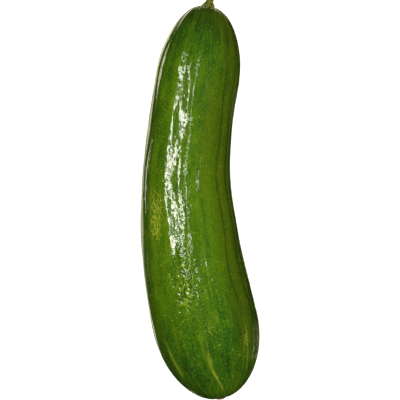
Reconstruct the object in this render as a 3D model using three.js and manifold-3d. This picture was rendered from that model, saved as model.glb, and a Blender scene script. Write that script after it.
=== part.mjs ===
// A short slicing cucumber as picked: the ripe green fruit with the cut stub of its stalk.
// It lies on its side with the bend flat on the surface, resting on a long narrow flat on its underside.
// Millimetres, +Z up. The stem end points to +Y and the hollow side of the bend faces +X.
import * as THREE from 'three';
import { mergeVertices } from 'three/addons/utils/BufferGeometryUtils.js';
import Module from 'manifold-3d';

// Fruit: places are distances from the middle of its length, positive towards the stem end
const fruitLength = 200;
const halfLength = fruitLength / 2;
const bend = [
  [100, 4.4], [70, 0.2], [40, -4.5], [10, -6.6], [-20, -4.7], [-50, 0.5], [-75, 6.1], [-100, 10.9],
];
const halfWidth = [
  [100, 20], [70, 21.8], [40, 21.7], [10, 23.1], [-20, 25.2], [-50, 26.9], [-75, 26.9], [-100, 26],
];
const axisHeight = [
  [100, 22.3], [70, 20.6], [40, 20.2], [10, 21.5], [-20, 23.7], [-50, 25.3], [-75, 26], [-100, 26.8],
];
const thicknessShare = 0.97; // height of a cross-section against its width
const stemEnd = { length: 39, fullness: 2.42 };
const blossomEnd = { length: 37.5, fullness: 2.05 };

// Low ribs along the fruit, one for each angle, in degrees round from the top towards +X
const ribAngles = [-4, 28, 54, 78, 104, 134, 164, 196, 228, 258, 287, 309, 331];
const ribRise = 0.65;
const ribSpread = 10; // degrees
const ribTwist = 2; // degrees between the middle and either end
const ribWander = { reach: 3, length: 49, over: 36 }; // all swerve together, furthest over at this place
const ribSwing = 0.25; // how far one rib's rise differs from the next, as a share
const lobeShare = 0.012; // the three seed chambers show as a faintly three-sided section
const lobeAngle = 20;

// Relief at the two tips, in from the round of the end
const stemDip = { depth: 0.7, radius: 6 };
const blossomDip = { depth: 0.5, radius: 5.5 };
const scar = { rise: 0.9, radius: 2.5, edge: 0.5 };

// Stub of the stalk: [distance out from the fruit's tip, radius], with five soft ridges
const stubProfile = [
  [4.4, 1.9], [3.2, 1.75], [2.2, 1.85], [1.2, 2.6], [0.2, 3.4], [-0.8, 3.2], [-2, 2.4], [-3.6, 2],
];
const stubRidges = 5;
const stubRidgeShare = 0.1;
const stubLean = 0.18; // sideways shift for each millimetre outwards
const stubCutSlant = 0.25;
const fitGap = 0.3; // clear space between the stub and its socket

// Fineness
const fruitRows = 64;
const fruitAround = 88;
const endCrowding = 0.7; // 0 spaces the rows as on a ball, and near 1 crowds them at the tips
const stubRows = 14;
const stubAround = 30;

// The value at a place on the smooth curve through [place, value] stations, highest place first
function through(stations, place) {
  const last = stations.length - 1;
  const slope = (i) => {
    const before = stations[Math.max(i - 1, 0)];
    const after = stations[Math.min(i + 1, last)];
    return (after[1] - before[1]) / (after[0] - before[0]);
  };
  let i = 0;
  while (i < last - 1 && place < stations[i + 1][0]) i += 1;
  const [from, to] = [stations[i], stations[i + 1]];
  const span = to[0] - from[0];
  const t = (place - from[0]) / span;
  const eased = t * t * (3 - 2 * t);
  return from[1] + (to[1] - from[1]) * eased
    + span * (slope(i) * t * (1 - t) ** 2 - slope(i + 1) * t * t * (1 - t));
}

// The axis of the fruit at a place, with unit vectors along it, to its +X side and up
function axisFrame(place) {
  const at = (p) => new THREE.Vector3(through(bend, p), p, through(axisHeight, p));
  const step = 0.5;
  const high = Math.min(place + step, halfLength);
  const low = Math.max(place - step, -halfLength);
  const along = at(high).sub(at(low)).normalize();
  const side = new THREE.Vector3(along.y, -along.x, 0).normalize();
  const up = new THREE.Vector3().crossVectors(side, along);
  return { centre: at(place), along, side, up };
}

// How much of the full width is left at a distance from a rounded tip
function roundedTip(distance, { length, fullness }) {
  const inner = Math.max(1 - distance / length, 0);
  return (1 - inner * inner) ** (1 / fullness);
}

function ribsAt(angle, place) {
  const swerve = ribWander.reach * Math.cos((2 * Math.PI * (place - ribWander.over)) / ribWander.length);
  const turned = angle - (ribTwist * place) / halfLength - swerve;
  return ribAngles.reduce((sum, crest, i) => {
    const apart = ((((turned - crest) % 360) + 540) % 360) - 180;
    return sum + (1 + ribSwing * Math.sin(2.3 * i)) * Math.exp(-((apart / ribSpread) ** 2));
  }, 0);
}

// How far the skin stands out along the axis from the plain round end
function tipRelief(place, radius) {
  if (place > 0) return -stemDip.depth * Math.exp(-((radius / stemDip.radius) ** 2));
  const button = THREE.MathUtils.smoothstep(scar.radius + scar.edge - radius, 0, 2 * scar.edge);
  return blossomDip.depth * Math.exp(-((radius / blossomDip.radius) ** 2)) - scar.rise * button;
}

function fruitPoint(place, angle) {
  const { centre, along, side, up } = axisFrame(place);
  const share = roundedTip(halfLength - place, stemEnd) * roundedTip(place + halfLength, blossomEnd);
  const plain = through(halfWidth, place) * share;
  const lobes = lobeShare * Math.cos(THREE.MathUtils.degToRad(3 * (angle - lobeAngle)));
  const radius = plain * (1 + lobes) + ribRise * share * (ribsAt(angle, place) - 1);
  const turn = THREE.MathUtils.degToRad(angle);
  const point = centre
    .addScaledVector(side, radius * Math.sin(turn))
    .addScaledVector(up, radius * thicknessShare * Math.cos(turn))
    .addScaledVector(along, tipRelief(place, plain));
  point.z = Math.max(point.z, 0); // the flat that it rests on
  return point;
}

// A closed surface over rings of points, shut by a fan at each tip
function closedSurface(rings, firstTip, lastTip) {
  const around = rings[0].length;
  const points = [firstTip, ...rings.flat(), lastTip];
  const lastIndex = points.length - 1;
  const index = [];
  for (let j = 0; j < around; j += 1) {
    const next = (j + 1) % around;
    index.push(0, 1 + j, 1 + next);
    for (let i = 0; i < rings.length - 1; i += 1) {
      const here = 1 + i * around;
      const below = here + around;
      index.push(here + j, below + j, here + next, below + j, below + next, here + next);
    }
    index.push(lastIndex, lastIndex - around + next, lastIndex - around + j);
  }
  const geometry = new THREE.BufferGeometry().setFromPoints(points);
  geometry.setIndex(index);
  return geometry;
}

function fruitGeometry() {
  const rings = [];
  for (let i = 1; i < fruitRows; i += 1) {
    const even = i / fruitRows;
    const crowded = even - (endCrowding * Math.sin(2 * Math.PI * even)) / (2 * Math.PI);
    const place = halfLength * Math.cos(Math.PI * crowded);
    const ring = [];
    for (let j = 0; j < fruitAround; j += 1) ring.push(fruitPoint(place, (360 * j) / fruitAround));
    rings.push(ring);
  }
  return closedSurface(rings, fruitPoint(halfLength, 0), fruitPoint(-halfLength, 0));
}

// The stub, or the socket for it when grown by a gap on every side
function stubGeometry(grow) {
  const { centre, along, side, up } = axisFrame(halfLength);
  const outer = stubProfile[0][0] + grow;
  const inner = stubProfile[stubProfile.length - 1][0] - grow;
  const at = (out, radius, angle) => {
    const slant = stubCutSlant * radius * Math.sin(angle) * THREE.MathUtils.smoothstep(out, outer - 2, outer);
    return centre.clone()
      .addScaledVector(along, out + slant)
      .addScaledVector(side, radius * Math.sin(angle) + stubLean * out)
      .addScaledVector(up, radius * Math.cos(angle));
  };
  const rings = [];
  for (let i = 0; i <= stubRows; i += 1) {
    const out = outer + ((inner - outer) * i) / stubRows;
    const ring = [];
    for (let j = 0; j < stubAround; j += 1) {
      const angle = (2 * Math.PI * j) / stubAround;
      const radius = through(stubProfile, out) * (1 + stubRidgeShare * Math.cos(stubRidges * angle)) + grow;
      ring.push(at(out, radius, angle));
    }
    rings.push(ring);
  }
  return closedSurface(rings, at(outer, 0, 0), at(inner, 0, 0));
}

const wasm = await Module();
wasm.setup();

function toSolid(geometry) {
  const merged = mergeVertices(geometry);
  return new wasm.Manifold(new wasm.Mesh({
    numProp: 3,
    vertProperties: merged.attributes.position.array,
    triVerts: new Uint32Array(merged.index.array),
  }));
}

function toGeometry(solid) {
  const { vertProperties, triVerts } = solid.getMesh();
  const geometry = new THREE.BufferGeometry();
  geometry.setAttribute('position', new THREE.BufferAttribute(vertProperties, 3));
  geometry.setIndex(new THREE.BufferAttribute(triVerts, 1));
  geometry.computeVertexNormals();
  return geometry;
}

const skinGreen = new THREE.MeshStandardMaterial({ color: 0x3f6a14, roughness: 0.3, metalness: 0 });
const stalkGreen = new THREE.MeshStandardMaterial({ color: 0x8a8a2a, roughness: 0.75, metalness: 0 });

// The fruit, with a socket that the foot of the stub stands in
const socket = toSolid(stubGeometry(fitGap));
const fruit = new THREE.Mesh(toGeometry(toSolid(fruitGeometry()).subtract(socket)), skinGreen);
fruit.name = 'fruit';

const stub = new THREE.Mesh(stubGeometry(0), stalkGreen);
stub.name = 'stem_stub';

// The origin is on the surface, under the middle of the whole
const cucumber = new THREE.Group();
cucumber.add(fruit, stub);
const box = new THREE.Box3().setFromObject(cucumber);
cucumber.position.set(-(box.min.x + box.max.x) / 2, -(box.min.y + box.max.y) / 2, 0);

export default cucumber;
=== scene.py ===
import math

import bpy
import numpy as np
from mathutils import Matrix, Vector, noise


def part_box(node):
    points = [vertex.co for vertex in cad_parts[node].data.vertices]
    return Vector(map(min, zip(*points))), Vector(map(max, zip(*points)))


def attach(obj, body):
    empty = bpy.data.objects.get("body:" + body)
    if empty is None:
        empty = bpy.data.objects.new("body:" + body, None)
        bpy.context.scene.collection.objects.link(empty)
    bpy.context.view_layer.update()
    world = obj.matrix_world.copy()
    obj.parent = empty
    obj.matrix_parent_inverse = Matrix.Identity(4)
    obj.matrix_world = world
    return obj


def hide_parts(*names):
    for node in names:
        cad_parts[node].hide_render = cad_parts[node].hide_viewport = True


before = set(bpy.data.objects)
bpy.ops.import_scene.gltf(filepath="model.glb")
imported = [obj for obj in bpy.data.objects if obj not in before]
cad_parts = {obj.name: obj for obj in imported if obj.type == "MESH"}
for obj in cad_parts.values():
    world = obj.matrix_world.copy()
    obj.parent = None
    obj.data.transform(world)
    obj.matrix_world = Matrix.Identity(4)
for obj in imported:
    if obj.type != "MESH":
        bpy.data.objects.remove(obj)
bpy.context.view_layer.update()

# A slicing cucumber lying on its side on a pale floor, seen from straight above.
# Lengths in the dictionaries are millimetres, and angles are degrees round from the top towards +X.
mm = 0.001

# The fruit's shape, as (place, value) stations: a place is a distance from the middle towards the stem end
fruit = {
    "halfLength": 100,
    "bend": [(100, 4.4), (70, 0.2), (40, -4.5), (10, -6.6), (-20, -4.7), (-50, 0.5), (-75, 6.1),
             (-100, 10.9)],
    "halfWidth": [(100, 20), (70, 21.8), (40, 21.7), (10, 23.1), (-20, 25.2), (-50, 26.9), (-75, 26.9),
                  (-100, 26)],
    "axisHeight": [(100, 22.3), (70, 20.6), (40, 20.2), (10, 21.5), (-20, 23.7), (-50, 25.3), (-75, 26),
                   (-100, 26.8)],
    "thicknessShare": 0.97,     # height of a section against its width
    "stemEnd": (39, 2.42),      # length of the rounding, and its fullness
    "blossomEnd": (37.5, 2.05),
    "ribAngles": [-4, 28, 54, 78, 104, 134, 164, 196, 228, 258, 287, 309, 331],
    "ribRise": 0.65,
    "ribSpread": 10,
    "ribTwist": 2,              # degrees between the middle and either end
    "ribSwing": (0.25, 2.3),    # how far one rib's rise differs from the next
    "ribWander": (3, 49, 36),   # degrees to either side, length of one bend, and where one is furthest over
    "lobeShare": 0.012,
    "lobeAngle": 20,
    "stemDip": (0.7, 6),        # depth and radius
    "blossomDip": (0.5, 5.5),
    "scar": (0.9, 2.5, 0.5),    # rise, radius and the width of its edge
    "axisStep": 0.5,            # how far to either side the axis is followed for its direction
    "rows": 270,
    "around": 360,
    "fineSteps": 4001,          # from tip to tip, to find rows that are evenly spaced along the side
    "girthRadius": 24,          # radius of the straight cylinder that the finish is laid out on
}


def through(stations, place):
    # the smooth curve through the stations, at one place or an array of them
    at, value = np.array(stations[::-1], float).T
    slope = np.empty_like(value)
    slope[1:-1] = (value[2:] - value[:-2]) / (at[2:] - at[:-2])
    slope[0] = (value[1] - value[0]) / (at[1] - at[0])
    slope[-1] = (value[-1] - value[-2]) / (at[-1] - at[-2])
    i = np.clip(np.searchsorted(at, place) - 1, 0, len(at) - 2)
    span = at[i + 1] - at[i]
    t = (place - at[i]) / span
    eased = value[i] + (value[i + 1] - value[i]) * t * t * (3 - 2 * t)
    return eased + span * t * (1 - t) * (slope[i] * (1 - t) - slope[i + 1] * t)


def smooth(value, low, high):
    t = np.clip((value - low) / (high - low), 0, 1)
    return t * t * (3 - 2 * t)


def bell(apart, width):
    return np.exp(-(apart / width) ** 2)


def apartBy(angle, crest):
    return (angle - crest + 180) % 360 - 180


def roundedTip(distance, length, fullness):
    inner = np.maximum(1 - distance / length, 0)
    return (1 - inner ** 2) ** (1 / fullness)


def tipShare(place):
    # how much of the full width the rounding of both ends leaves
    half = fruit["halfLength"]
    return roundedTip(half - place, *fruit["stemEnd"]) * roundedTip(place + half, *fruit["blossomEnd"])


def wanderedBy(angle, place):
    # the angle, less how far the ribs have turned and swerved by this place
    reach, length, over = fruit["ribWander"]
    swerve = reach * np.cos(2 * math.pi * (place - over) / length)
    return angle - fruit["ribTwist"] * place / fruit["halfLength"] - swerve


def ribsAt(angle, place):
    turned = wanderedBy(angle, place)
    swing, pace = fruit["ribSwing"]
    total = 0
    for i, crest in enumerate(fruit["ribAngles"]):
        total = total + (1 + swing * math.sin(pace * i)) * bell(apartBy(turned, crest), fruit["ribSpread"])
    return total


def tipRelief(place, radius):
    # how far the skin stands out along the axis from the plain round end
    depth, reach = fruit["stemDip"]
    stem = -depth * bell(radius, reach)
    depth, reach = fruit["blossomDip"]
    rise, edge, soft = fruit["scar"]
    button = smooth(edge + soft - radius, 0, 2 * soft)
    blossom = depth * bell(radius, reach) - rise * button
    return np.where(place > 0, stem, blossom)


def axisFrame(place):
    # the middle of the section at each place, with directions along the axis, to its +X side and up
    half, step = fruit["halfLength"], fruit["axisStep"]

    def at(p):
        return np.stack([through(fruit["bend"], p), p, through(fruit["axisHeight"], p)], -1)

    along = at(np.minimum(place + step, half)) - at(np.maximum(place - step, -half))
    along /= np.linalg.norm(along, axis=-1, keepdims=True)
    side = np.stack([along[..., 1], -along[..., 0], np.zeros_like(place)], -1)
    side /= np.linalg.norm(side, axis=-1, keepdims=True)
    return at(place), along, side, np.cross(side, along)


def fruitPoints(place, angle):
    centre, along, side, up = axisFrame(place)
    share = tipShare(place)
    plain = through(fruit["halfWidth"], place) * share
    lobes = fruit["lobeShare"] * np.cos(np.radians(3 * (angle - fruit["lobeAngle"])))
    radius = plain * (1 + lobes) + fruit["ribRise"] * share * (ribsAt(angle, place) - 1)
    turn = np.radians(angle)
    points = centre + side * (radius * np.sin(turn))[..., None]
    points += up * (radius * fruit["thicknessShare"] * np.cos(turn))[..., None]
    points += along * tipRelief(place, plain)[..., None]
    points[..., 2] = np.maximum(points[..., 2], 0)      # the flat that it rests on
    return points


def evenPlaces(rows):
    # places that cut the fruit's side into equal steps, round both ends
    fine = fruit["halfLength"] * np.cos(np.linspace(0, math.pi, fruit["fineSteps"]))
    width = through(fruit["halfWidth"], fine) * tipShare(fine)
    walked = np.concatenate([[0], np.cumsum(np.hypot(np.diff(fine), np.diff(width)))])
    return np.interp(np.linspace(0, walked[-1], rows + 1), walked, fine)


def ringMesh(name, points):
    # a closed mesh from rings of points, the first and last of which are single points
    rings, around = points.shape[:2]
    flat = np.concatenate([points[:1, 0], points[1:-1].reshape(-1, 3), points[-1:, 0]])
    last = len(flat) - 1
    faces = []
    for j in range(around):
        k = (j + 1) % around
        faces.append((0, 1 + j, 1 + k))
        for i in range(rings - 3):
            here = 1 + i * around
            faces.append((here + j, here + around + j, here + around + k, here + k))
        faces.append((last, last - around + k, last - around + j))
    mesh = bpy.data.meshes.new(name)
    mesh.from_pydata(flat.tolist(), [], faces)
    mesh.shade_smooth()
    piece = bpy.data.objects.new(name, mesh)
    bpy.context.scene.collection.objects.link(piece)
    return piece


def perVertex(grid):
    # one value for each vertex of a ring mesh, from one for each point of its rings
    return np.concatenate([grid[:1, 0], grid[1:-1].reshape(-1, *grid.shape[2:]), grid[-1:, 0]])


def noiseAt(where, size, stretch, drift):
    scaled = where / np.array([size, size, size * stretch]) + drift
    return np.array([noise.noise(Vector(p)) for p in scaled])


def push(piece, height):
    # moves each vertex along its normal
    mesh = piece.data
    normals = np.empty(len(mesh.vertices) * 3, np.float32)
    mesh.vertex_normals.foreach_get("vector", normals)
    points = np.empty_like(normals)
    mesh.vertices.foreach_get("co", points)
    points += normals * np.repeat(height, 3)
    mesh.vertices.foreach_set("co", points)
    mesh.update()


def keepOn(piece, name, *channels):
    # lays up to three values on each vertex, for a finish to read
    blank = np.zeros_like(channels[0])
    columns = np.stack([*channels, blank, blank][:3], -1)
    layer = piece.data.attributes.new(name, "FLOAT_VECTOR", "POINT")
    layer.data.foreach_set("vector", columns.astype(np.float32).ravel())


# Where the rind changes. A patch is angle, place, half its width in degrees, half its length, and how much
marks = {
    "drifts": (31.0, 41.0),         # which part of the noise the waver and the swell of the tone take
    "waver": (4, 14, 2.5),          # all edges waver: by how many degrees, the size of one, and its stretch
    "tone": 0.56,                   # of the plain rind, from 0, darkest, to 1
    "toneSwell": (0.12, 20, 3.0),
    "ribPaintedLight": 0.05,                # painted light and shade: how much lighter a rib's crest is painted, and how much darker a groove
    "groovePaintedShade": 0.1,
    # lighter and darker patches; those down the flanks and along the groove at 44 degrees are painted shade
    "tones": [
        (6, 12, 34, 46, 0.12),
        (-42, -10, 15, 18, 0.22),
        (-14, -50, 18, 22, 0.04),
        # painted shade down the left flank
        (-66, 0, 12, 90, -0.10),
        (-34, -84, 36, 24, -0.38),
        (30, -80, 40, 20, -0.14),
        (-30, 50, 14, 34, 0.16),
        (12, -82, 12, 12, -0.16),
        (36, -90, 26, 15, -0.12),
        (36, -62, 10, 12, -0.14),
        (0, 98, 90, 18, -0.62),
        (45, 89, 8, 12, -0.28),
        (46, 2, 16, 24, 0.09),
        (5, -92, 16, 8, 0.1),
        (-46, 78, 13, 15, -0.22),
        (52, 82, 26, 20, -0.14),
        # painted shade low on the right flank
        (72, -48, 16, 48, -0.3),
        (-54, -44, 16, 34, 0.14),
        # painted shade along the groove at 44 degrees
        (44, 20, 5, 80, -0.10),
        (130, 30, 30, 60, -0.12),
        (238, -30, 26, 60, -0.12),
    ],
    # where the green turns olive
    "olives": [
        (56, 30, 28, 90, 0.65),
        (22, 34, 8, 40, 0.45),
        (48, -60, 22, 34, 0.35),
        (-56, -92, 40, 12, 0.3),
        (10, 96, 90, 12, 0.3),
        (150, -20, 40, 90, 0.5),
    ],
    # a net of fine cork
    "nets": [
        (-40, -3, 10, 7, 1.0),
        (-44, -13, 9, 6, 0.9),
        (-30, -36, 6, 4, 0.3),
        (6, -62, 8, 3, 0.35),
        (44, -70, 5, 8, 0.4),
        (112, 22, 9, 12, 0.9),
        (248, -30, 8, 10, 0.8),
        (205, 48, 8, 8, 0.8),
    ],
    # a dusting of pale dots
    "dots": [
        (-55, 44, 4, 17, 1.3),
        (-38, 10, 16, 34, 0.75),
        (-24, -50, 20, 16, 0.3),
        (100, -10, 26, 40, 0.6),
        (262, 20, 20, 40, 0.6),
    ],
    # small lumps that break the gloss up, their tops painted pale as highlight and the hollows between
    # painted dark as shade
    "lumps": [
        (-14, -44, 16, 14, 1.0),
        (-10, -27, 7, 9, 0.6),
        (-1, -10, 5, 20, 0.35),
        (3, 22, 6, 34, 0.4),
        (-42, -8, 10, 12, 0.6),
        (-12, 68, 16, 7, 0.5),
        (110, -20, 24, 40, 0.7),
        (250, 30, 24, 40, 0.7),
    ],
    # yellow-green streaks that run in from the blossom end: angle, where each starts and ends,
    # half its width, how strong it is, and how far it veers at the tip
    "streaks": [
        (-50, -86, -50, 5.5, 0.7, -4),
        (-4, -97, -50, 4.2, 0.75, 13),
        (46, -90, -40, 3.6, 0.6, 6),
        (21, -90, -74, 3.0, 0.4, 8),
        (82, -92, -55, 5, 0.6, 0),
        (118, -94, -40, 5, 0.8, 0),
        (150, -90, -62, 4, 0.7, 0),
        (186, -95, -50, 6, 0.8, 0),
        (222, -90, -60, 4, 0.6, 0),
        (258, -93, -45, 5, 0.8, 0),
        (284, -90, -66, 4, 0.5, 0),
    ],
    "streakRises": (-0.05, 0.12),   # shares of its length over which a streak comes in and fades
    "streakFades": (0.3, 1),
    "veerPlaces": (-97, -80),
    "brightLine": (0.5, 1.1, 1.0),  # beside the middle of a streak: degrees off, half the width, and how much
    "darkLine": (-3, 1.1, 1.4),
    # narrow grooves beside the ribs, shallow in the relief and painted dark as shade: angle, where each
    # starts and ends, and how deep its tone is
    "grooves": [
        (43.5, -66, 84, 1.0),
        (47, -60, 84, 0.55),
        (63, -84, 70, 1.1),
        (73, -80, 84, 1.0),
        (82, -86, 80, 0.8),
        (-64, -40, 88, 0.6),
        (-77, -86, 92, 0.8),
        (-34, -70, -30, 0.4),
        (-8, 58, 92, 0.6),
        (17, -30, 60, 0.3),
        (90, -80, 80, 0.8),
        (120, -60, 86, 0.7),
        (150, -86, 60, 0.6),
        (212, -70, 80, 0.7),
        (243, -84, 86, 0.8),
        (275, -50, 88, 0.7),
    ],
    "grooveWidth": 1.8,
    "grooveFade": 20,               # the length over which one comes in
    "soilSide": (172, -12, 34, 52),     # the paler side that lay on the soil: angle, place and half its size
    "soilEdge": (1.25, 0.55),       # how far out it reaches, and how soft its edge is
    "scar": (2.3, 3.6),             # distances from the axis at which the scar and the collar of painted shade end
    "collar": (4.5, 9),
}


def patchwork(patches, angle, place):
    total = np.zeros_like(place)
    for at, middle, width, length, amount in patches:
        total += amount * np.exp(-(apartBy(angle, at) / width) ** 2 - ((place - middle) / length) ** 2)
    return total


def grooveAt(angle, place):
    # how far into a groove each point lies
    wandered = wanderedBy(angle, place)
    fade = marks["grooveFade"]
    total = np.zeros_like(place)
    for at, start, end, amount in marks["grooves"]:
        reach = smooth(place, start, start + fade) * (1 - smooth(place, end - fade, end))
        total = np.maximum(total, amount * reach * bell(apartBy(wandered, at), marks["grooveWidth"]))
    return total


def streaksAt(angle, place):
    # the streaks, and the bright line and the dark one in each
    streak, line = np.zeros_like(place), np.zeros_like(place)
    for at, start, end, width, amount, veer in marks["streaks"]:
        along = (place - start) / (end - start)
        reach = amount * smooth(along, *marks["streakRises"]) * (1 - smooth(along, *marks["streakFades"]))
        across = apartBy(angle, at + veer * (1 - smooth(place, *marks["veerPlaces"])))
        streak = np.maximum(streak, reach * bell(across, width))
        for (off, thin, much), sign in ((marks["brightLine"], 1), (marks["darkLine"], -1)):
            line += sign * much * reach * bell(across - off, thin)
    return streak, line


def soilAt(angle, place):
    at, middle, width, length = marks["soilSide"]
    reach, softness = marks["soilEdge"]
    return smooth(reach - np.hypot(apartBy(angle, at) / width, (place - middle) / length), 0, softness)


def paintMarks(skin, place, angle, straight):
    # lays the broad tone, the tints and the streaks on the mesh, for the finish to read
    waverDrift, toneDrift = marks["drifts"]
    degrees, size, stretch = marks["waver"]
    wavy = angle + degrees * noiseAt(straight, size, stretch, waverDrift)
    much, size, stretch = marks["toneSwell"]
    tone = marks["tone"] + much * noiseAt(straight, size, stretch, toneDrift)
    # rib crests painted lighter and the hollows between them darker: painted light and shade
    tone += patchwork(marks["tones"], wavy, place) + marks["ribPaintedLight"] * (ribsAt(angle, place) - 1)
    groove = grooveAt(angle, place)
    streak, line = streaksAt(wavy, place)
    outward = through(fruit["halfWidth"], place) * tipShare(place)
    scar = np.where(place < 0, 1 - smooth(outward, *marks["scar"]), 0)
    collar = np.where(place > 0, 1 - smooth(outward, *marks["collar"]), 0)
    kinds = ("olives", "nets", "dots", "lumps")
    olive, net, dots, lumps = (patchwork(marks[kind], wavy, place) for kind in kinds)
    keepOn(skin, "straight", *straight.T)
    # grooves painted darker: painted shade
    keepOn(skin, "marks", tone - marks["groovePaintedShade"] * groove, streak, line)
    keepOn(skin, "tints", olive, soilAt(wavy, place), net)
    keepOn(skin, "ends", scar, collar, dots)
    keepOn(skin, "feel", lumps, groove)


# The skin's relief: the size of one swelling across the fruit, how much longer it is, and its height
relief = {
    "swell": (9, 2.2, 0.24),
    "dimple": (3.0, 1.6, 0.06),
    "grain": (1.1, 1.4, 0.05),
    "vein": (1.9, 11, 0.06),
    "drift": 7.3,                   # between the parts of the noise that they take
    "atTips": 0.35,                 # how much of that is left at the tips, and low on the flanks
    "onFlanks": 0.3,
    "flank": (0.8, 0.93, -0.3),     # shares of the width where it gets calmer, and how far down the calm goes
    # low swellings: angle, place, half the width in degrees, half the length, and the rise
    "swellings": [
        (-12, 70, 5, 8, 0.4),
        (-25, 35, 7, 9, 0.3),
        (-5, 52, 5, 9, 0.1),
        (-24, 60, 5, 8, 0.1),
        (-11, 8, 3, 14, 0.06),
        (-7, 14, 4, 10, 0.1),
        (-25, -16, 7, 9, 0.2),
        (-9, -24, 6, 10, 0.12),
        (-27, -4, 6, 8, 0.15),
    ],
    "seed": 5,
    "wartCount": 46,
    "wartPlaces": (-80, 85),
    "wartRadius": (0.7, 1.5),
    "wartRise": (0.05, 0.16),
    "grooveDepth": 0.13,
    "puckerLines": 26,              # round the stalk and the scar
    "puckerRise": 0.22,
    "puckerReach": 9,
    "puckerStart": (1.5, 4),
    "puckerWaver": (1.5, 3),
    "flatEdge": 1.5,                # the height over which the relief fades towards the flat
}


def skinRelief(place, angle, straight):
    turn = np.radians(angle)
    share = tipShare(place)
    start, full, lowest = relief["flank"]
    flank = smooth(np.abs(np.sin(turn)), start, full) * (np.cos(turn) > lowest)
    calm = (1 - (1 - relief["onFlanks"]) * flank) * (relief["atTips"] + (1 - relief["atTips"]) * share)
    height = np.zeros(len(place))
    for number, kind in enumerate(("swell", "dimple", "grain", "vein")):
        size, stretch, rise = relief[kind]
        height += rise * noiseAt(straight, size, stretch, relief["drift"] * number) * calm

    rng = np.random.default_rng(relief["seed"])
    girth = fruit["girthRadius"]
    for _ in range(relief["wartCount"]):
        turned, at = rng.uniform(0, 2 * math.pi), rng.uniform(*relief["wartPlaces"])
        radius = rng.uniform(*relief["wartRadius"])
        rise = rng.uniform(*relief["wartRise"])
        spot = np.array([girth * math.sin(turned), girth * math.cos(turned), at])
        height += rise * bell(np.linalg.norm(straight - spot, axis=1), radius)

    height += patchwork(relief["swellings"], angle, place) - relief["grooveDepth"] * grooveAt(angle, place)
    outward = through(fruit["halfWidth"], place) * share
    pucker = bell(outward, relief["puckerReach"]) * smooth(outward, *relief["puckerStart"])
    waver, times = relief["puckerWaver"]
    lines = np.cos(relief["puckerLines"] * turn + waver * np.sin(times * turn))
    return height + relief["puckerRise"] * pucker * lines


def makeSkin():
    # also gives the way from the middle of the fruit's length to the frame's origin
    degrees = np.arange(fruit["around"]) * 360 / fruit["around"]
    place, angle = np.meshgrid(evenPlaces(fruit["rows"]), degrees, indexing="ij")
    points = fruitPoints(place, angle)
    low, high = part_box("fruit")
    middle = (low + high) / 2
    drawn = (points.min((0, 1)) + points.max((0, 1))) / 2
    shift = np.array([middle.x, middle.y, 0]) / mm - drawn * (1, 1, 0)
    skin = ringMesh("cucumber_skin", (points + shift) * mm)

    place, angle = perVertex(place), perVertex(angle)
    turn, girth = np.radians(angle), fruit["girthRadius"]
    straight = np.stack([girth * np.sin(turn), girth * np.cos(turn), place], -1)
    height = skinRelief(place, angle, straight) * smooth(perVertex(points)[:, 2], 0, relief["flatEdge"])
    push(skin, height * mm)
    paintMarks(skin, place, angle, straight)
    return skin, shift


class Wire:
    # A value, colour or vector in a shader. Sums on wires add Math nodes.
    def __init__(self, tree, socket=None):
        self.tree = tree
        self.socket = socket

    def node(self, kind, settings=None, inputs=None, output=0):
        made = self.tree.nodes.new(kind)
        for name, value in (settings or {}).items():
            if name == "stops":
                ramp = made.color_ramp
                while len(ramp.elements) < len(value):
                    ramp.elements.new(0.5)
                for element, (position, colour) in zip(ramp.elements, value):
                    element.position = position
                    element.color = colour
            else:
                setattr(made, name, value)
        for name, value in (inputs or {}).items():
            if isinstance(value, Wire):
                self.tree.links.new(value.socket, made.inputs[name])
            else:
                made.inputs[name].default_value = value
        return Wire(self.tree, made.outputs[output] if made.outputs else None)

    def maths(self, operation, first, second):
        return self.node("ShaderNodeMath", {"operation": operation}, {0: first, 1: second})

    def __add__(self, other):
        return self.maths("ADD", self, other)

    def __mul__(self, other):
        return self.maths("MULTIPLY", self, other)

    def __sub__(self, other):
        return self.maths("SUBTRACT", self, other)

    def __rsub__(self, other):
        return self.maths("SUBTRACT", other, self)

    __radd__ = __add__
    __rmul__ = __mul__

    def between(self, low, high):
        # 0 below low, 1 above high and smooth between
        return self.node("ShaderNodeMapRange", {"interpolation_type": "SMOOTHSTEP"},
                         {"Value": self, "From Min": low, "From Max": high})

    def parts(self):
        return [self.node("ShaderNodeSeparateXYZ", {}, {0: self}, output=axis) for axis in "XYZ"]

    def scaled(self, *factors):
        return self.node("ShaderNodeVectorMath", {"operation": "MULTIPLY"}, {0: self, 1: factors})

    def grain(self, scale, detail, roughness, stretch=1.0):
        # noise over a place, drawn out along it where the stretch is below 1
        return self.node("ShaderNodeTexNoise", {}, {"Vector": self.scaled(1, 1, stretch), "Scale": scale,
                                                    "Detail": detail, "Roughness": roughness})

    def cells(self, scale, stretch, feature="F1"):
        # how far each place is from the middle, or the edge, of its cell
        return self.node("ShaderNodeTexVoronoi", {"feature": feature},
                         {"Vector": self.scaled(1, 1, stretch), "Scale": scale})

    def blend(self, first, second):
        # the first colour where this is 0 and the second where it is 1
        return self.node("ShaderNodeMix", {"data_type": "RGBA"}, {0: self, 6: first, 7: second}, output=2)


def paint(red, green, blue):
    # a colour as it looks on a screen, 0 to 255, as the numbers that a shader takes
    seen = (red, green, blue)
    return tuple(((c / 255 + 0.055) / 1.055) ** 2.4 if c > 10 else c / 3295 for c in seen) + (1.0,)


def newShader(name):
    material = bpy.data.materials.new(name)
    material.use_nodes = True
    material.node_tree.nodes.clear()
    return material, Wire(material.node_tree)


def laidOn(start, name):
    return start.node("ShaderNodeAttribute", {"attribute_name": name}, output="Vector")


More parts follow.
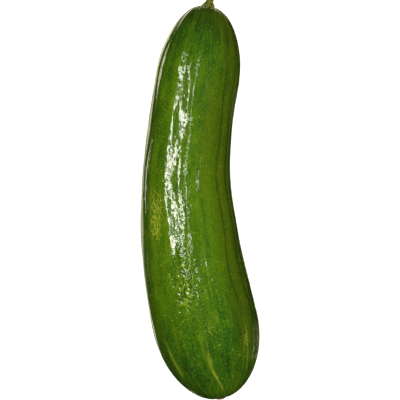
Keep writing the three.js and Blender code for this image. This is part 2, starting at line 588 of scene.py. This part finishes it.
# The rind's colours as they look in full light, and its textures: scale, detail, roughness and stretch
rind = {
    "darkest": paint(35, 64, 15),
    "deep": paint(49, 93, 20),
    "middle": paint(78, 118, 14),
    "light": paint(102, 138, 18),
    "gold": paint(122, 156, 20),
    "pale": paint(130, 150, 40),
    "olive": paint(86, 103, 14),
    "yellow": paint(192, 198, 62),
    # pale dots, and the painted highlight on the tops of the lumps
    "fleckAndHighlight": paint(164, 190, 52),
    "russet": paint(130, 122, 32),
    # painted shade in the grooves and the pits
    "dark": paint(34, 44, 8),
    "soil": paint(176, 176, 96),
    "straw": paint(178, 150, 96),
    "greens": [(0.0, "darkest"), (0.28, "deep"), (0.58, "middle"), (0.9, "light")],   # by tone
    "vein": (0.5, 3, 0.6, 0.05),
    "mottle": (0.22, 3, 0.6, 0.5),
    "speckle": (1.3, 2, 0.6, 1),
    "pore": (1.3, 2, 0.6, 0.7),
    "bead": (0.55, 1, 0.5, 1),
    "dusting": (0.3, 2, 0.5, 1),
    # cells: scale and stretch
    "netCells": (0.5, 0.6),
    "dotCells": (0.7, 1),
    "pitCells": (0.21, 0.8),
    "hollowCells": (0.7, 0.8),
    "netSwirl": (0.16, 9),          # scale of what bends the net, and how far
    # how much the veins, the mottle and the speckle shift the green
    "unevenness": (0.65, 0.8, 1.3),
    # coats over the green: how ragged veins, mottle and speckle make each, where it starts and is full,
    # the most of it that shows, and its colour
    "coats": {
        "olive": ((0.8, 0.5, 0), 0.0, 1.0, 1, "olive"),
        "soil": ((0.5, 0.6, 0), 0.15, 0.9, 1, "soil"),
        "streak": ((0.4, 0.5, 0), 0.2, 1.0, 1, "pale"),
        "line": ((1.4, 0, 1), 0.35, 1.1, 1, "yellow"),
        # the grooves' dark is painted shade
        "groove": ((0.8, 0, 0), 0.3, 1.6, 1, "dark"),
        "cork": ((0, 2.2, 0), 0.95, 1.55, 1, "russet"),
        "net": ((0, 3, 0), 0.3, 1.1, 0.4, "gold"),
        "collar": ((1.2, 2, 0), 0.45, 1.35, 1, "olive"),
        "scar": ((0, 0, 0.6), 0.3, 0.6, 1, "straw"),
    },
    # where each mask starts and is full
    "edges": {
        "thread": (0.02, 0.12),
        "strand": (0.15, 0.6),
        "dot": (0.10, 0.28),
        "dusting": (0.05, 0.35),
        "pit": (0.04, 0.2),
        "pitTone": (0.0, 1.3),
        "bead": (0.35, 1.0),
        "beadTop": (0.52, 0.62),
        "beadHollow": (0.36, 0.46),
        "side": (8, 18),            # millimetres up from the middle
        "hollow": (0.0, 0.3),
        "dry": (0.0, 1.0),
    },
    "streakCover": 0.9,             # how much of the pale coat a streak takes
    "strands": 0.75,                # how much of the net's strands and of the dots shows
    "dots": 0.75,
    "strandSpeckle": 1.2,           # how patchy the strands and the dots are
    "dustingGrain": 2.4,
    "pitShade": (0.55, 1.5),        # how dark the painted shade in the pits is, and how much the mottle changes that
    "paintedBeadHighlight": 0.5,                # how pale the painted highlight on the tops of the lumps is, and how dark the painted shade in the hollows between
    "paintedBeadShade": 0.6,
    "poreGrain": 0.6,               # how much of the pores is grain, and how much is hollows
    "poreHollows": 0.45,
    "strandDryness": 0.5,
    "ior": 1.45,
    "roughness": 0.085,
    "dryRoughness": 0.4,            # more where it is dry
    "mottleRoughness": 0.05,
    "sidePores": 0.12,              # how much of the pores is left low on the sides
    "poreRise": 0.05,               # rises in millimetres
    "lumpRise": 0.55,
    "strandRise": 0.04,
    "pitDepth": 0.1,
}


def skinFinish():
    material, start = newShader("waxy_rind")
    where = laidOn(start, "straight")
    tone, streak, line = laidOn(start, "marks").parts()
    olive, soil, net = laidOn(start, "tints").parts()
    scar, collar, dusting = laidOn(start, "ends").parts()
    lumpy, groove, _ = laidOn(start, "feel").parts()
    _, upward, _ = where.parts()

    # long fine veins, a soft mottle and the speckle of the pores
    vein, mottle, speckle = (where.grain(*rind[kind]) - 0.5 for kind in ("vein", "mottle", "speckle"))

    def uneven(mask, weights):
        for weight, texture in zip(weights, (vein, mottle, speckle)):
            if weight:
                mask = mask + weight * texture
        return mask

    def edged(mask, name):
        return mask.between(*rind["edges"][name])

    def coated(under, mask, name):
        weights, low, high, most, colour = rind["coats"][name]
        return (most * uneven(mask, weights).between(low, high)).blend(under, rind[colour])

    tinted = start.node("ShaderNodeValToRGB", {"stops": [(at, rind[name]) for at, name in rind["greens"]]},
                        {"Fac": uneven(tone, rind["unevenness"])})
    for name, mask in (("olive", olive), ("soil", soil), ("streak", rind["streakCover"] * streak),
                       ("line", line), ("groove", groove - line), ("cork", streak), ("net", net)):
        tinted = coated(tinted, mask, name)

    # the net's strands, pale dots, and pits painted dark as shade
    scale, reach = rind["netSwirl"]
    bent = start.node("ShaderNodeTexNoise", {}, {"Vector": where, "Scale": scale, "Detail": 2.0},
                      output="Color")
    swirl = start.node("ShaderNodeVectorMath", {"operation": "MULTIPLY_ADD"},
                       {0: bent, 1: (reach, reach, reach), 2: where})
    thread = 1 - edged(swirl.cells(*rind["netCells"], "DISTANCE_TO_EDGE"), "thread")
    strands = thread * edged(net + rind["strandSpeckle"] * speckle, "strand")
    tinted = (rind["strands"] * strands).blend(tinted, rind["yellow"])
    dot = 1 - edged(where.cells(*rind["dotCells"]), "dot")
    patchy = rind["dustingGrain"] * (where.grain(*rind["dusting"]) - 0.5)
    dots = dot * edged(dusting + patchy, "dusting")
    tinted = (rind["dots"] * dots).blend(tinted, rind["fleckAndHighlight"])
    # the pits painted dark: painted shade
    pit = 1 - edged(where.cells(*rind["pitCells"]), "pit")
    shade, change = rind["pitShade"]
    tinted = edged(pit * (shade + change * mottle), "pitTone").blend(tinted, rind["dark"])

    # painted highlight on the tops of the lumps and painted shade in the hollows between them
    bead = where.grain(*rind["bead"])
    highlitTops = rind["paintedBeadHighlight"] * edged(lumpy, "bead") * edged(bead, "beadTop")
    shadedGaps = rind["paintedBeadShade"] * edged(lumpy, "bead") * (1 - edged(bead, "beadHollow"))
    tinted = shadedGaps.blend(highlitTops.blend(tinted, rind["fleckAndHighlight"]), rind["darkest"])

    # the ends: an olive collar of painted shade under the stalk and the dry scar of the flower
    tinted = coated(tinted, collar, "collar")
    tinted = coated(tinted, scar, "scar")

    # pores, soft lumps in places, the net standing out and the pits
    sides = rind["sidePores"] + (1 - rind["sidePores"]) * edged(upward, "side")
    hollows = rind["poreHollows"] * edged(where.cells(*rind["hollowCells"]), "hollow")
    fine = rind["poreRise"] * sides * (rind["poreGrain"] * where.grain(*rind["pore"]) + hollows)
    height = fine + rind["lumpRise"] * lumpy * bead + rind["strandRise"] * strands - rind["pitDepth"] * pit
    bump = start.node("ShaderNodeBump", {}, {"Strength": 1.0, "Distance": mm, "Height": height})
    dry = edged(scar + rind["strandDryness"] * strands, "dry")
    roughness = rind["roughness"] + rind["dryRoughness"] * dry + rind["mottleRoughness"] * mottle
    body = start.node("ShaderNodeBsdfPrincipled", {}, {
        "Base Color": tinted, "Roughness": roughness, "Normal": bump, "IOR": rind["ior"]})
    start.node("ShaderNodeOutputMaterial", {}, {"Surface": body})
    return material


# The stub of the stalk, as (step, distance out from the fruit's tip) and (step, radius) from the cut inwards
stub = {
    "out": [(10, 4.1), (9, 4.2), (8, 4.4), (7, 4.25), (6, 3.2), (5, 2.2), (4, 1.2), (3, 0.4), (2, -0.5),
            (1, -1.6), (0, -3)],
    "radius": [(10, 0.0), (9, 0.9), (8, 1.55), (7, 1.9), (6, 1.75), (5, 1.85), (4, 2.4), (3, 3.0), (2, 3.2),
               (1, 3.0), (0, 2)],
    "ridges": 5,
    "ridgeShare": 0.12,
    "lean": 0.18,               # sideways shift for each millimetre outwards
    "slant": 0.25,
    "slantFrom": (2.4, 4.4),
    "fibreSize": (6, 0.5),      # scales round the stalk and along it
    "fibreRise": 0.07,
    "cutRise": 0.12,
    "cutSteps": (6.4, 7.6),     # where the relief of the cut comes in, and its colour
    "faceSteps": (6.8, 7.6),
    "rows": 90,
    "around": 120,
    "green": paint(112, 120, 24),
    # painted shade between the ridges and on darker fibres
    "dark": paint(74, 84, 12),
    # pale blotches: a painted highlight on the side, and pale patches on the cut
    "pale": paint(214, 208, 118),
    "straw": paint(206, 198, 140),
    "fibre": (2.4, 3, 0.6, 0.2),    # textures: scale, detail, roughness and stretch
    "blotch": (0.9, 3, 0.6),
    "greenMix": (0.6, 0.25, 0.2),   # how much fibres, and ridges as painted light and shade, lighten the green, and by how much all of it
    "greenEdge": (0.2, 0.8),        # where the lighter green, the pale blotches and those on the cut come in
    "paleEdge": (0.52, 0.7),
    "faceEdge": (0.3, 0.7),
    "bumpRise": 0.12,
    "blotchRise": 0.5,
    "roughness": 0.6,
    "ior": 1.4,
}


def makeStub(shift):
    step, turn = np.meshgrid(np.linspace(10, 0, stub["rows"]),
                             np.linspace(0, 2 * math.pi, stub["around"], endpoint=False), indexing="ij")
    out = through(stub["out"], step)
    ridge = np.cos(stub["ridges"] * turn)
    radius = np.maximum(through(stub["radius"], step), 0) * (1 + stub["ridgeShare"] * ridge)
    about, along = stub["fibreSize"]
    fibre = np.array([noise.noise(Vector((about * math.sin(a), about * math.cos(a), along * o)))
                      for a, o in zip(turn.ravel(), out.ravel())]).reshape(turn.shape)
    radius += stub["fibreRise"] * fibre * np.minimum(radius, 1)
    out = out + stub["slant"] * radius * np.sin(turn) * smooth(out, *stub["slantFrom"])
    out = out + stub["cutRise"] * fibre * smooth(step, *stub["cutSteps"])
    centre, along, side, up = axisFrame(np.array(float(fruit["halfLength"])))
    points = centre + along * out[..., None]
    points = points + side * (radius * np.sin(turn) + stub["lean"] * out)[..., None]
    points = points + up * (radius * np.cos(turn))[..., None]
    piece = ringMesh("stalk_stub", (points + shift) * mm)
    keepOn(piece, "straight", *(perVertex(v) for v in (radius * np.sin(turn), radius * np.cos(turn), out)))
    keepOn(piece, "marks", perVertex(smooth(step, *stub["faceSteps"])), perVertex(ridge))
    return piece


def stubFinish():
    material, start = newShader("dry_stalk")
    where = laidOn(start, "straight")
    cut, ridge, _ = laidOn(start, "marks").parts()
    fibre = where.grain(*stub["fibre"])
    blotch = where.grain(*stub["blotch"])
    byFibre, ridgeShading, byAll = stub["greenMix"]
    lighter = fibre * byFibre + ridgeShading * ridge + byAll
    # ridge crests painted lighter and the grooves between darker as painted light and shade, and pale
    # blotches as painted highlight
    colour = lighter.between(*stub["greenEdge"]).blend(stub["dark"], stub["green"])
    colour = blotch.between(*stub["paleEdge"]).blend(colour, stub["pale"])
    face = blotch.between(*stub["faceEdge"]).blend(stub["straw"], stub["pale"])
    bump = start.node("ShaderNodeBump", {}, {
        "Strength": 1.0, "Distance": stub["bumpRise"] * mm, "Height": fibre + stub["blotchRise"] * blotch})
    body = start.node("ShaderNodeBsdfPrincipled", {}, {
        "Base Color": cut.blend(colour, face), "Roughness": stub["roughness"], "Normal": bump,
        "IOR": stub["ior"]})
    start.node("ShaderNodeOutputMaterial", {}, {"Surface": body})
    return material


# A round sheet of pale paper that curves up into a wall far away, all round
paper = {
    "radius": 3000,
    "innerRadius": 200,         # of the first ring round the middle
    "flatRadius": 1500,
    "flatRings": 4,
    "curveRings": 12,
    "curveStart": 0.1,          # radians up the curve at its first ring
    "wallHeight": 3000,
    "lidRise": 1,
    "around": 96,
    "shade": paint(232, 232, 230),
    "light": paint(238, 238, 236),
    "tooth": (300, 2, 0.5),
    "roughness": 0.9,
    "glow": 0.75,
}


def makeFloor():
    flat, full = paper["flatRadius"], paper["radius"]
    rise = full - flat
    profile = [(0, 0)] + [(r, 0) for r in np.linspace(paper["innerRadius"], flat, paper["flatRings"])]
    bends = np.linspace(paper["curveStart"], math.pi / 2, paper["curveRings"])
    profile += [(flat + rise * math.sin(a), rise - rise * math.cos(a)) for a in bends]
    top = rise + paper["wallHeight"]
    profile += [(full, top), (full, top + paper["lidRise"])]
    turns = np.linspace(0, 2 * math.pi, paper["around"], endpoint=False)
    rings = np.array([[(r * math.cos(t), r * math.sin(t), z) for t in turns] for r, z in profile])
    floor = ringMesh("floor", rings * mm)
    floor.data.flip_normals()
    material, start = newShader("pale_paper")
    tooth = start.node("ShaderNodeTexCoord", {}, output="Object").grain(*paper["tooth"])
    body = start.node("ShaderNodeBsdfPrincipled", {}, {
        "Base Color": tooth.blend(paper["shade"], paper["light"]), "Roughness": paper["roughness"],
        "Emission Color": (1, 1, 1, 1), "Emission Strength": paper["glow"]})
    start.node("ShaderNodeOutputMaterial", {}, {"Surface": body})
    floor.data.materials.append(material)
    floor.visible_glossy = False
    floor.visible_diffuse = False
    floor.visible_shadow = False


# One wide lamp overhead lights the fruit, and the rind mirrors the others: the key as the white column left
# of the middle, low and high as its lower and upper ends, and the strip as the thin lines beside it.
# Tilt is towards +X and forward towards the stem end.
lamps = {
    "aimHeight": 25,
    "overhead": {"tilt": 4, "forward": 3, "distance": 1200, "size": (1700, 1700), "power": 23.3,
                 "colour": (1.0, 0.97, 0.88)},
    "key": {"tilt": -37, "forward": 19, "distance": 900, "size": (48, 330), "power": 1.7,
            "colour": (1.0, 0.95, 0.88)},
    "low": {"tilt": -31, "forward": 4, "distance": 900, "size": (90, 170), "power": 1.6,
            "colour": (1.0, 0.96, 0.82)},
    "high": {"tilt": -33, "forward": 32, "distance": 1000, "size": (50, 160), "power": 0.4,
             "colour": (1.0, 0.95, 0.88)},
    "strip": {"tilt": 4, "forward": 14, "distance": 900, "size": (36, 400), "power": 1.1,
              "colour": (1.0, 0.95, 0.88)},
}


def makeLamp(name, mirrored):
    given = lamps[name]
    lamp = bpy.data.lights.new(name, "AREA")
    lamp.shape = "RECTANGLE"
    lamp.size, lamp.size_y = (length * mm for length in given["size"])
    lamp.energy = given["power"]
    lamp.color = given["colour"]
    holder = bpy.data.objects.new(name, lamp)
    bpy.context.scene.collection.objects.link(holder)
    across, ahead = (math.tan(math.radians(given[way])) for way in ("tilt", "forward"))
    towards = Vector((across, ahead, 1)).normalized()
    holder.location = Vector((0, 0, lamps["aimHeight"] * mm)) + towards * given["distance"] * mm
    holder.rotation_euler = towards.to_track_quat("Z", "Y").to_euler()
    holder.visible_glossy = mirrored
    holder.visible_diffuse = not mirrored


# The room as the rind mirrors it: dark, but for rings of light low down that draw pale lines along its edges.
# Edges of a ring are heights of a direction, from -1, straight down, to 0, level.
room = {
    "colour": (1.0, 0.95, 0.6, 1.0),
    "level": 0.02,
    # parts of rings: the side each is on, how it comes in towards that side, the heights where it starts,
    # is full, fades and ends, and its level
    "rings": [
        ((-1, 0, 0), (-0.1, 0.5), (-0.95, -0.94, -0.92, -0.905), 1.5),
        ((-0.93, 0.37, 0), (0.86, 0.95), (-0.71, -0.70, -0.675, -0.665), 2.6),
        ((-0.97, -0.24, 0), (0.9, 0.97), (-0.93, -0.92, -0.84, -0.82), 1.4),
        ((0.93, -0.37, 0), (0.9, 0.97), (-0.985, -0.98, -0.95, -0.94), 2.4),
        ((0.97, -0.24, 0), (0.97, 0.985), (-0.70, -0.69, -0.68, -0.67), 3.0),
    ],
    # a wider one behind the stem end
    "shoulder": ((-0.45, 0.89, 0.0), (0.15, 0.45), (-0.95, -0.90, -0.72, -0.60), 1.9),
}


def makeRoom():
    world = bpy.data.worlds.new("soft_room")
    bpy.context.scene.world = world
    world.use_nodes = True
    world.node_tree.nodes.clear()
    start = Wire(world.node_tree)
    direction = start.node("ShaderNodeTexCoord", {}, output="Generated")
    heading = start.node("ShaderNodeVectorMath", {"operation": "NORMALIZE"}, {0: direction.scaled(1, 1, 0)})
    _, _, height = direction.parts()

    def ring(source, side, comesIn, edges, level):
        low, full, fading, high = edges
        towards = start.node("ShaderNodeVectorMath", {"operation": "DOT_PRODUCT"}, {0: source, 1: side},
                             output="Value")
        band = height.between(low, full) * (1 - height.between(fading, high))
        return level * band * towards.between(*comesIn)

    level = room["level"] + ring(direction, *room["shoulder"])
    for part in room["rings"]:
        level = level + ring(heading, *part)
    sky = start.node("ShaderNodeBackground", {}, {"Color": room["colour"], "Strength": level})
    start.node("ShaderNodeOutputWorld", {}, {"Surface": sky})


# The camera looks straight down
camera = {
    "pixel": 0.5095,            # millimetres of the fruit across one of the picture's pixels
    "pixels": 400,
    "centre": (0.2, 0.6),       # what the middle of the picture shows, from the middle of the fruit's length
    "height": 480,              # above the middle of the fruit
    "middleHeight": 25,
    "sensor": 36,
    "reach": 50000,
}


def makeCamera(shift):
    view = bpy.data.cameras.new("camera")
    holder = bpy.data.objects.new("camera", view)
    bpy.context.scene.collection.objects.link(holder)
    view.sensor_width = camera["sensor"]
    view.lens = camera["sensor"] * camera["height"] / (camera["pixel"] * camera["pixels"])
    view.clip_end = camera["reach"] * mm
    x, y = camera["centre"]
    height = camera["middleHeight"] + camera["height"]
    holder.location = ((x + shift[0]) * mm, (y + shift[1]) * mm, height * mm)
    bpy.context.scene.camera = holder


print("skin")
skin, shift = makeSkin()
skin.data.materials.append(skinFinish())
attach(skin, "root")
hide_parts("fruit")

print("stub of the stalk")
stalk = makeStub(shift)
stalk.data.materials.append(stubFinish())
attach(stalk, "root")
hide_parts("stem_stub")

print("floor, lamps, room and camera")
makeFloor()
makeLamp("overhead", False)
for name in ("key", "low", "high", "strip"):
    makeLamp(name, True)
makeRoom()
makeCamera(shift)
bpy.context.scene.view_settings.view_transform = "Standard"
